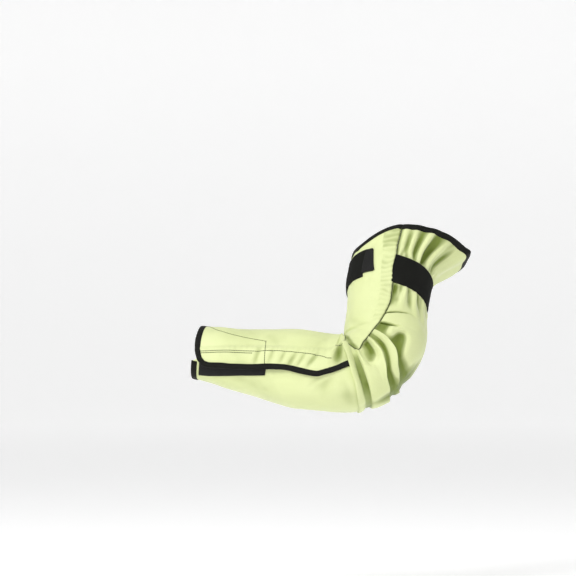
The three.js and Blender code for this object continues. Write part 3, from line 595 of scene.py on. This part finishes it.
def wrapShape(rows, columns):
    at, around = wrapPlaces(rows, columns)
    lift = wrapLift(at, around)
    # The fold value sets the painted shade in this panel's hollows
    fold = np.clip((lift - flapLift(at) * overSeam(at, around)) / wrapPanel["fullShadeDepth"], -1, 1)
    return sheetOf(at, around, lift, fold)


# The outer and lower forearm panel, whose near edge lies under the flap
underCreases = [
    ((1.05, 60), (0.96, 48), (0.88, 26), -1.0, 4, 7),
    ((0.96, 64), (0.9, 50), (0.84, 34), -0.9, 4, 6), ((1.0, 62), (0.99, 40), (0.95, 16), -0.8, 7, 8),
    ((0.60, 46), (0.70, 40), (0.82, 40), 0.8, 14, 12), ((0.30, 30), (0.45, 26), (0.62, 10), -0.7, 12, 14),
    ((1.12, 66), (1.16, 40), (1.17, 6), -1.2, 6, 4), ((0.12, 20), (0.2, -4), (0.3, -30), 0.7, 10, 10),
    ((0.7, -20), (0.85, -50), (1.0, -70), 1.0, 12, 10), ((1.05, -20), (1.1, -50), (1.1, -80), -1.2, 8, 8),
]
underPanel = {
    "unevenness": 0.8, "fineUnevenness": 0.16, "setBack": 0.035, "setBackFrom": 44, "setBackTo": 54,
    "bendRows": 0.2, "underSeam": 4, "fullShadeDepth": 8,
}


def underLift(at, around):
    x, y = lengthAlong(at), lengthAround(at, around)
    soft = underPanel["unevenness"] * unevenness(x * 0.6, y, 30, 9)
    soft = (soft + underPanel["fineUnevenness"] * unevenness(x, y, 9, 10)) * smoothStep(at, 0, 0.08)
    underFlap = smoothStep(around - curveThrough(seams["flap"], at), -6, 4)
    free = (creaseRise(underCreases, at, around) + soft) * (1 - underFlap)
    return free + creaseRise(flapHollow, at, around) * underFlap


def underShape(rows, columns):
    across = np.linspace(1, -1, columns + 1)
    bendRows = int(rows * underPanel["bendRows"])
    forearm = np.linspace(0, 1, rows - bendRows + 1)
    bend = np.linspace(0, 1, bendRows + 1)[1:]
    end = pleatStation("front fold, foot", across) - stationsFor(0.8, 1)
    underFlap = smoothStep(across * seamAt(0), underPanel["setBackFrom"], underPanel["setBackTo"])
    fading = np.clip(1 - forearm[:, None] / wristReach, 0, 1)
    near = forearm[:, None] + underPanel["setBack"] * underFlap * fading
    at = np.concatenate([near, mix(1, end, bend[:, None])])
    around = across * (seamAt(at) - underPanel["underSeam"] * (across > 0))
    lift = underLift(at, around)
    # The fold value sets the painted shade in this panel's hollows
    fold = np.clip(lift / underPanel["fullShadeDepth"], -1, 1)
    return sheetOf(at, around, lift, fold)


# Tapes and stitches follow a path of stations and degrees on a surface
trial = {"stations": 0.002, "degrees": 0.2}


# The points and directions along a path, and the stations and degrees of one millimetre to its left
def besidePath(surface, path, closed=False):
    at, around = path.T
    here = surface(at, around, 0)
    perStation = surface(at + trial["stations"], around, 0) - surface(at - trial["stations"], around, 0)
    perStation = perStation / (2 * trial["stations"])
    perDegree = surface(at, around + trial["degrees"], 0) - surface(at, around - trial["degrees"], 0)
    perDegree = perDegree / (2 * trial["degrees"])
    if closed:
        along = unit(np.roll(here, -1, 0) - np.roll(here, 1, 0))
    else:
        along = unit(np.gradient(here, axis=0))
    outward = unit(np.cross(perStation, perDegree))
    outward = outward * np.sign(np.sum(outward * outwardOf(at, around), -1, keepdims=True))
    left = np.cross(outward, along)
    stationStep = np.sum(left * perStation, -1) / np.sum(perStation ** 2, -1)
    degreeStep = np.sum(left * perDegree, -1) / np.sum(perDegree ** 2, -1)
    return here, along, outward, np.stack([stationStep, degreeStep], -1)


def evenPath(surface, path, pitch):  # the path cut into equal lengths
    path = np.asarray(path, float)
    dense = columnsThrough(np.arange(len(path)), path, np.linspace(0, len(path) - 1, 900), straightThrough)
    line = surface(*dense.T, 0)
    length = np.sum(np.linalg.norm(np.diff(line, axis=0), axis=-1))
    shares = evenShares(line, max(int(length / pitch), 2))
    return columnsThrough(np.linspace(0, 1, len(dense)), dense, shares, straightThrough)


def smoothPath(rows, count=60):
    return columnsThrough(np.linspace(0, 1, len(rows)), np.array(rows, float), np.linspace(0, 1, count))


def makeTube(name, rings, closed=False):  # rings of points become a closed skin
    rings = np.concatenate([rings, rings[:, :1]], 1)
    if closed:
        rings = np.concatenate([rings, rings[:1]])
    aside, along = goneAlong(rings[0]), goneAlong(rings.mean(1))
    plan = np.stack(np.broadcast_arrays(aside[None, :], along[:, None]), -1)
    blank = np.zeros(rings.shape[:2])
    rows, columns = blank.shape[0] - 1, blank.shape[1] - 1
    piece = makeSheet(name, lambda rows, columns: (rings, rings * 0, plan, blank), rows, columns, 0)
    selectOnly(piece)
    bpy.ops.object.mode_set(mode="EDIT")
    bpy.ops.mesh.select_all(action="SELECT")
    bpy.ops.mesh.remove_doubles(threshold=1e-6)
    if not closed:
        bpy.ops.mesh.fill_holes(sides=0)
    bpy.ops.mesh.normals_make_consistent(inside=False)
    bpy.ops.object.mode_set(mode="OBJECT")
    bpy.ops.object.shade_smooth_by_angle(angle=math.radians(55))
    return piece


# A folded binding tape: distances in from the cloth's edge, and up from its outer face
tapeFold = [(7.0, 0.15), (7.15, 0.6), (6.6, 0.85), (5.6, 0.9), (4.9, 0.72), (4.3, 0.9), (2.6, 1.0),
            (0.8, 0.9), (-0.35, 0.5), (-0.85, -0.3), (-0.8, -1.0), (-0.35, -1.75), (0.8, -2.1), (3.5, -2.1),
            (6.6, -2.0), (7.1, -1.5)]
binding = {"pitch": 1.5, "swell": 0.12, "wander": 0.04}


def makeBinding(name, surface, path, nodes, closed=False):
    step = besidePath(surface, path, closed)[3]
    x = np.arange(len(path)) * binding["pitch"]
    swell = 1 + binding["swell"] * unevenness(x, x * 0, 9, 13)
    breadth = 1 + binding["wander"] * unevenness(x, x * 0, 14, 14)
    rings = []
    for across, up in tapeFold:
        place = path + step * (across * breadth)[:, None]
        rings.append(surface(place[:, 0], place[:, 1], up * swell))
    finishPiece(makeTube(name, np.stack(rings, 1), closed), tape, nodes)


# Each run of stitches is a surface and a path. Size is a stitch's length, width and height in millimetres.
def makeStitches(name, runs, size, pitch, lift):
    spots = []
    for surface, path in runs:
        here, along, outward = besidePath(surface, evenPath(surface, path, pitch))[:3]
        spots.append(np.stack([here + outward * lift, along, outward], 1))
    spots = np.concatenate(spots)
    bpy.ops.mesh.primitive_uv_sphere_add(segments=6, ring_count=4, radius=0.5)
    piece = bpy.context.object
    piece.name = piece.data.name = name
    applyModifier(piece, "ARRAY", count=len(spots), use_relative_offset=False)
    mesh = piece.data
    points = readVectors(mesh.vertices).reshape(len(spots), -1, 3) * size
    middle, along, outward = spots[:, None, 0], spots[:, None, 1], spots[:, None, 2]
    aside = np.cross(outward, along)
    placed = middle + points[..., :1] * along + points[..., 1:2] * aside + points[..., 2:] * outward
    mesh.vertices.foreach_set("co", (placed * mm).ravel())
    mesh.update()
    smoothShade(piece)
    finishPiece(piece, thread)


def topPoint(at, around, rise):  # the cloth beside the top edge, all the way round
    turned = around - 360 * np.round(around / 360)
    share = np.abs(turned) / seamAt(at)
    onBack = mix(backSoft(at, turned), backCloth["seamDip"], smoothStep(share, backCloth["seamFrom"], 1.0))
    return sleevePoint(at, around, mix(onBack, frontPanel["rise"], smoothStep(share, 0.98, 1.03)) + rise)


def underPoint(at, around, rise):
    return sleevePoint(at, around, underLift(at, around) + rise)


def upperSeamPoint(at, around, rise):
    return sleevePoint(at, around, rise + 0.4)


# The arm band and its tab
def bandLift(around):
    return wall["gap"] + wall["elastic"] + 0.5 * smoothStep(fromBack(around), 84, 110)


def bandShape(rows, columns):
    around = np.linspace(armBand["start"] - 10, armBand["end"], rows + 1)[:, None]
    share = np.linspace(-1, 1, columns + 1)
    at = bandCentre(around) + share * halfBand
    ribs = armBand["ribRise"] * np.cos(share * math.pi * armBand["ribs"])
    edge = -armBand["edgeDip"] * smoothStep(np.abs(share), 0.96, 1)
    soft = armBand["unevenness"] * unevenness(lengthAround(2.5, around), at * 0, 24, 15)
    lift = bandLift(around) + ribs + edge + soft
    around = np.broadcast_to(around, at.shape)
    return sheetOf(at, around, lift, ribs + 0 * at)


def tabShape(rows, columns):
    end = armBand["end"] - degreesFor(armBand["tabLength"], bandStation)
    share = np.linspace(-1, 1, columns + 1)
    gone = np.linspace(0, 1, rows + 1)[:, None]
    around = mix(armBand["end"] + 0.5, end + degreesFor(armBand["tabSlant"], bandStation) * share, gone)
    half = stationsFor(armBand["tabWidth"], 2) / 2
    rounded = 1 - 0.1 * smoothStep(gone, 0.8, 1) ** 2
    upward = stationsFor((armBand["width"] - armBand["tabWidth"]) / 2 - armBand["tabBelowEdge"], 2)
    at = bandCentre(around) + upward + share * half * rounded
    return sheetOf(at, around, bandLift(around) + armBand["tabRise"], at * 0)


# The hook strip on the outer wrist
hookStrip = {"from": 0.055, "to": 0.545, "width": 25, "slant": 0.006,
             "lowEdge": [(0.05, 9.5), (0.3, 30), (0.54, 46)]}


def stripPlace(along, up):
    at = mix(hookStrip["from"], hookStrip["to"] - hookStrip["slant"] * (1 - up), along)
    return at, curveThrough(hookStrip["lowEdge"], at) + up * degreesFor(hookStrip["width"], at)


def stripShape(rows, columns):
    at, around = stripPlace(np.linspace(0, 1, rows + 1)[:, None], np.linspace(0, 1, columns + 1))
    return sheetOf(at, around, underLift(at, around) + (wall["gap"] + wall["strip"]), at * 0)


# Materials
def srgb(*colour):  # screen values from 0 to 255 as a colour that Blender takes
    linear = [((c / 255 + 0.055) / 1.055) ** 2.4 if c > 10 else c / 255 / 12.92 for c in colour]
    return (*linear, 1)


def newGroup(name, inputs, outputs):
    group = bpy.data.node_groups.new(name, "ShaderNodeTree")
    for socketName, kind, value in inputs:
        socket = group.interface.new_socket(name=socketName, in_out="INPUT", socket_type=kind)
        socket.default_value = value
    for socketName, kind in outputs:
        group.interface.new_socket(name=socketName, in_out="OUTPUT", socket_type=kind)
    return group, group.nodes.new("NodeGroupInput"), group.nodes.new("NodeGroupOutput")


def feed(tree, socket, value):  # a constant is set on the socket, and an output is linked to it
    if isinstance(value, (tuple, int, float)):
        socket.default_value = value
    else:
        tree.links.new(value, socket)


def setInputs(node, **values):  # each socket's name, with _ for a space
    for name, value in values.items():
        node.inputs[name.replace("_", " ")].default_value = value


def mathNode(tree, operation, *values):
    node = tree.nodes.new("ShaderNodeMath")
    node.operation = operation
    for socket, value in zip(node.inputs, values):
        feed(tree, socket, value)
    return node.outputs[0]


def weaveGroup():  # crossing threads on the piece's own UV map, which is in metres
    group, inner, outer = newGroup("weave", [("Threads per metre", "NodeSocketFloat", 2200.0)],
                                   [("Height", "NodeSocketFloat"), ("Grain", "NodeSocketFloat")])
    place = group.nodes.new("ShaderNodeTexCoord")
    split = group.nodes.new("ShaderNodeSeparateXYZ")
    group.links.new(place.outputs["UV"], split.inputs[0])
    turns = mathNode(group, "MULTIPLY", inner.outputs[0], math.pi)
    warp = mathNode(group, "SINE", mathNode(group, "MULTIPLY", split.outputs[0], turns))
    weft = mathNode(group, "SINE", mathNode(group, "MULTIPLY", split.outputs[1], turns))
    over = mathNode(group, "MULTIPLY", warp, weft)
    height = mathNode(group, "MULTIPLY_ADD", over, 0.5, 0.5)
    noise = group.nodes.new("ShaderNodeTexNoise")
    setInputs(noise, Scale=900, Detail=2)
    group.links.new(place.outputs["UV"], noise.inputs["Vector"])
    group.links.new(height, outer.inputs["Height"])
    group.links.new(noise.outputs["Fac"], outer.inputs["Grain"])
    return group


def variationGroup():  # slow changes of shade from handling and from how thick the cloth lies
    group, inner, outer = newGroup("cloth variation", [("Scale", "NodeSocketFloat", 14.0)],
                                   [("Shade", "NodeSocketFloat")])
    place = group.nodes.new("ShaderNodeTexCoord")
    noise = group.nodes.new("ShaderNodeTexNoise")
    setInputs(noise, Detail=3, Roughness=0.45)
    group.links.new(inner.outputs["Scale"], noise.inputs["Scale"])
    group.links.new(place.outputs["Object"], noise.inputs["Vector"])
    group.links.new(noise.outputs["Fac"], outer.inputs["Shade"])
    return group


weave, variation = weaveGroup(), variationGroup()


def rampNode(tree, value, stops):
    ramp = tree.nodes.new("ShaderNodeValToRGB")
    elements = ramp.color_ramp.elements
    while len(elements) < len(stops):
        elements.new(0.5)
    for element, (position, colour) in zip(elements, stops):
        element.position = position
        element.color = colour
    tree.links.new(value, ramp.inputs[0])
    return ramp.outputs[0]


def mixColours(tree, share, a, b, kind="MIX"):
    node = tree.nodes.new("ShaderNodeMix")
    node.data_type = "RGBA"
    node.blend_type = kind
    for place, value in ((0, share), (6, a), (7, b)):
        feed(tree, node.inputs[place], value)
    return node.outputs[2]


def groupNode(tree, group, **values):
    node = tree.nodes.new("ShaderNodeGroup")
    node.node_tree = group
    setInputs(node, **values)
    return node.outputs


# How much painted shade, in the hollow colour, the cloth gets, from the deepest folds up to the level of the
# form
paintedShadeStops = [(0.16, (1, 1, 1, 1)), (0.33, (0.62, 0.62, 0.62, 1)), (0.45, (0.1, 0.1, 0.1, 1)),
               (0.5, (0, 0, 0, 1))]


def clothMaterial(name, look):
    material = bpy.data.materials.new(name)
    material.use_nodes = True
    tree = material.node_tree
    shader = tree.nodes["Principled BSDF"]
    threads = groupNode(tree, weave, Threads_per_metre=look["threads"])
    shade = groupNode(tree, variation, Scale=look["patchScale"])["Shade"]
    colour = mixColours(tree, shade, look["deep"], look["bright"])
    # Painted shade: by the fold value, the hollows are painted darker and greener in the hollow colour
    if "hollow" in look:
        folds = tree.nodes.new("ShaderNodeAttribute")
        folds.attribute_name = "fold"
        spread = mathNode(tree, "MULTIPLY_ADD", folds.outputs["Fac"], 0.5, 0.5)
        hollow = rampNode(tree, spread, paintedShadeStops)
        colour = mixColours(tree, hollow, colour, look["hollow"])
    grain = rampNode(tree, threads["Grain"], [(0.3, look["grainLow"]), (0.7, (1, 1, 1, 1))])
    colour = mixColours(tree, 1.0, colour, grain, "MULTIPLY")
    tree.links.new(colour, shader.inputs["Base Color"])
    setInputs(shader, Roughness=look["roughness"], Sheen_Weight=look["sheen"], Sheen_Roughness=0.4,
              Specular_IOR_Level=look["specular"])
    bump = tree.nodes.new("ShaderNodeBump")
    setInputs(bump, Strength=look["bump"], Distance=look["bumpDepth"] * mm)
    tree.links.new(threads["Height"], bump.inputs["Height"])
    tree.links.new(bump.outputs[0], shader.inputs["Normal"])
    return material


plain = {"grainLow": (0.8, 0.8, 0.8, 1), "patchScale": 30, "sheen": 0.04, "specular": 0.2}
looks = {
    "bright cloth": {"bright": srgb(222, 228, 176), "deep": srgb(204, 213, 150),
                     # hollow: the colour of the painted shade in the deepest folds
                     "hollow": srgb(112, 128, 46), "grainLow": (0.94, 0.95, 0.9, 1),
                     "threads": 2400, "patchScale": 14, "roughness": 0.55, "sheen": 0.25, "specular": 0.35,
                     "bump": 0.35, "bumpDepth": 0.08},
    "binding tape": {**plain, "bright": srgb(15, 16, 9), "deep": srgb(9, 10, 5),
                     "threads": 1500, "roughness": 0.7, "bump": 0.6, "bumpDepth": 0.15},
    "elastic": {**plain, "bright": srgb(22, 23, 18), "deep": srgb(14, 15, 12), "patchScale": 20,
                "grainLow": (0.75, 0.75, 0.75, 1), "threads": 900, "roughness": 0.8,
                "bump": 0.6, "bumpDepth": 0.2},
    "hook tape": {**plain, "bright": srgb(19, 19, 17), "deep": srgb(12, 12, 11), "specular": 0.25,
                  "grainLow": (0.7, 0.7, 0.7, 1), "threads": 1300, "roughness": 0.65,
                  "bump": 0.8, "bumpDepth": 0.3},
    "olive thread": {**plain, "bright": srgb(70, 82, 34), "deep": srgb(50, 60, 24), "sheen": 0.1,
                     "specular": 0.3, "threads": 3000, "roughness": 0.6, "bump": 0.3, "bumpDepth": 0.05},
}
cloth, tape, elastic, hook, thread = (clothMaterial(name, look) for name, look in looks.items())
print("materials made")

panels = [  # name, shape, grid, the nodes that it replaces, its cut and area in metres, and how it is held
    ("back_cloth", backShape, (286, 168), ("elbow_panel", "back_panel"), (0.23, 0.34), 0.059, "gathered"),
    ("front_cloth", frontShape, (190, 96), ("front_panel",), (0.20, 0.25), 0.0305, "stretched"),
    ("wrap_cloth", wrapShape, (230, 130), ("wrap_panel",), (0.19, 0.27), 0.0369, "stretched"),
    ("under_cloth", underShape, (200, 110), ("under_panel",), (0.19, 0.27), 0.0352, "stretched"),
]
for name, shape, grid, nodes, cut, area, held in panels:
    piece = makeSheet(name, shape, *grid, wall["cloth"])
    finishPiece(piece, cloth, nodes)

# The bindings
wrapEdge = np.stack([np.concatenate([grid[0, ::-1], grid[1:, 0]]) for grid in wrapPlaces(160, 90)], -1)
makeBinding("wrap_edge_tape", wrapPoint, evenPath(wrapPoint, wrapEdge, binding["pitch"]), ("wrap_binding",))
underEdge = evenPath(underPoint, [(0, 44), (0, -66.4)], binding["pitch"])
makeBinding("under_wrist_tape", underPoint, underEdge, ("under_wrist_binding",))
turned = np.arange(0, 360, 1.0)
topEdge = np.stack([rimAt(turned), turned], -1)
makeBinding("top_edge_tape", topPoint, topEdge, ("top_binding",), closed=True)

# The arm band, its tab and the hook strip
band = makeSheet("arm_band_webbing", bandShape, 220, 4 * armBand["ribs"], wall["elastic"])
finishPiece(band, elastic, ("arm_band",))
finishPiece(makeSheet("band_end_tab", tabShape, 16, 24, wall["elastic"]), hook, ("band_hook_tab",))
strip = makeSheet("hook_strip_pile", stripShape, 120, 20, wall["strip"])
finishPiece(strip, hook, ("wrist_hook_strip",))
print("trims made")

# The stitching: beside the forearm's side seam, by stations and the degrees below it, and its other runs
seamStops = np.linspace(0.03, 0.985, 40)
belowSeamRows = [(0, 3), (0.2, 4), (0.42, 6), (0.6, 4), (0.8, 5), (0.92, 8.5), (0.985, 13)]
belowSeam = curveThrough(belowSeamRows, seamStops)
sideSeam = np.stack([seamStops, seamAt(seamStops) - belowSeam], -1)
upperStops = np.linspace(seams["tip"] + 0.02, 2.96, 70)
upperSeam = np.stack([upperStops, seamAt(upperStops) - 0.6], -1)
cuffTop = smoothPath([(0.02, 160), (0.13, 128), (0.30, 112), (0.50, 103)])
cuffSide = smoothPath([(0.50, 103), (0.51, 90), (0.519, 76), (0.531, 60)], 30)
wristLine = smoothPath([(0.02, 142), (0.03, 94), (0.045, 72), (0.075, 47)])
secondRow = sideSeam[:17] - (0, 3.4)
bendSeam = smoothPath([(1.0, 106), (1.06, 107), (1.11, 108), (1.15, 111)], 20)
forearmRuns = [(wrapPoint, path) for path in (sideSeam, secondRow, cuffTop, cuffSide, wristLine, bendSeam)]
makeStitches("cloth_stitching", forearmRuns, size=(2.5, 1.15, 0.5), pitch=2.4, lift=0.15)
creaseSeam = smoothPath([(1.195, 112.5), (1.258, 109), (1.315, 101), (1.367, 94)], 30)
upperRuns = [(upperSeamPoint, upperSeam), (upperSeamPoint, creaseSeam)]
makeStitches("upper_seam_stitching", upperRuns, size=(2.7, 1.3, 0.7), pitch=2.4, lift=0.1)
print("stitching made")

# Camera, soft studio light and a pale floor that curves up into a backdrop
studio = {
    "aim": (-0.1429, 0.0, 0.0017), "distance": 4.478, "lens": 200, "air": 0.34, "floor": -0.42,
    "floorRadius": 5.5, "sweep": 1.2, "wallHeight": 3.5, "floorGlow": 0.27, "sensor": 36,
}
lights = [  # name, place, breadth in metres and power in watts
    ("key light", (-1.1, -1.5, 1.5), 0.9, 34),
    ("fill light", (1.4, -1.7, 0.2), 1.6, 3),
    ("top light", (0.1, 0.3, 1.9), 1.2, 8),
]
lightsAim = (-0.1, 0, 0)
cameraPlace = (studio["aim"][0], -studio["distance"], studio["aim"][2])
bpy.ops.object.camera_add(location=cameraPlace, rotation=(math.pi / 2, 0, 0))
camera = bpy.context.object
camera.data.lens = studio["lens"]
camera.data.sensor_width = studio["sensor"]
bpy.context.scene.camera = camera

for name, place, breadth, power in lights:
    bpy.ops.object.light_add(type="AREA", location=place)
    lamp = bpy.context.object
    lamp.name = name
    lamp.data.size = breadth
    lamp.data.energy = power
    away = np.array(place) - np.array(lightsAim)
    tipped = math.acos(away[2] / np.linalg.norm(away))
    lamp.rotation_euler = (tipped, 0, math.atan2(away[1], away[0]) + math.pi / 2)
world = bpy.data.worlds.new("studio air")
world.use_nodes = True
setInputs(world.node_tree.nodes["Background"], Color=(1, 1, 1, 1), Strength=studio["air"])
bpy.context.scene.world = world
bpy.context.scene.view_settings.view_transform = "Standard"

bpy.ops.mesh.primitive_grid_add(x_subdivisions=60, y_subdivisions=96, size=1)
backdrop = bpy.context.object
backdrop.name = "pale_floor"
length = studio["floorRadius"] + studio["sweep"] * math.pi / 2 + studio["wallHeight"]
for vertex in backdrop.data.vertices:  # the grid becomes a wide bowl: floor, sweep and wall
    gone = (vertex.co.x + 0.5) * length
    bend = min(max(gone - studio["floorRadius"], 0) / studio["sweep"], math.pi / 2)
    radius = min(gone, studio["floorRadius"]) + studio["sweep"] * math.sin(bend)
    up = max(gone - studio["floorRadius"] - studio["sweep"] * math.pi / 2, 0)
    angle = (vertex.co.y + 0.5) * 2 * math.pi
    vertex.co = (radius * math.cos(angle), radius * math.sin(angle),
                 studio["floor"] + studio["sweep"] * (1 - math.cos(bend)) + up)
smoothShade(backdrop)
paper = bpy.data.materials.new("white paper")
paper.use_nodes = True
setInputs(paper.node_tree.nodes["Principled BSDF"], Base_Color=(0.92, 0.92, 0.92, 1), Roughness=0.9,
          Emission_Color=(1, 1, 1, 1), Emission_Strength=studio["floorGlow"])
backdrop.data.materials.append(paper)
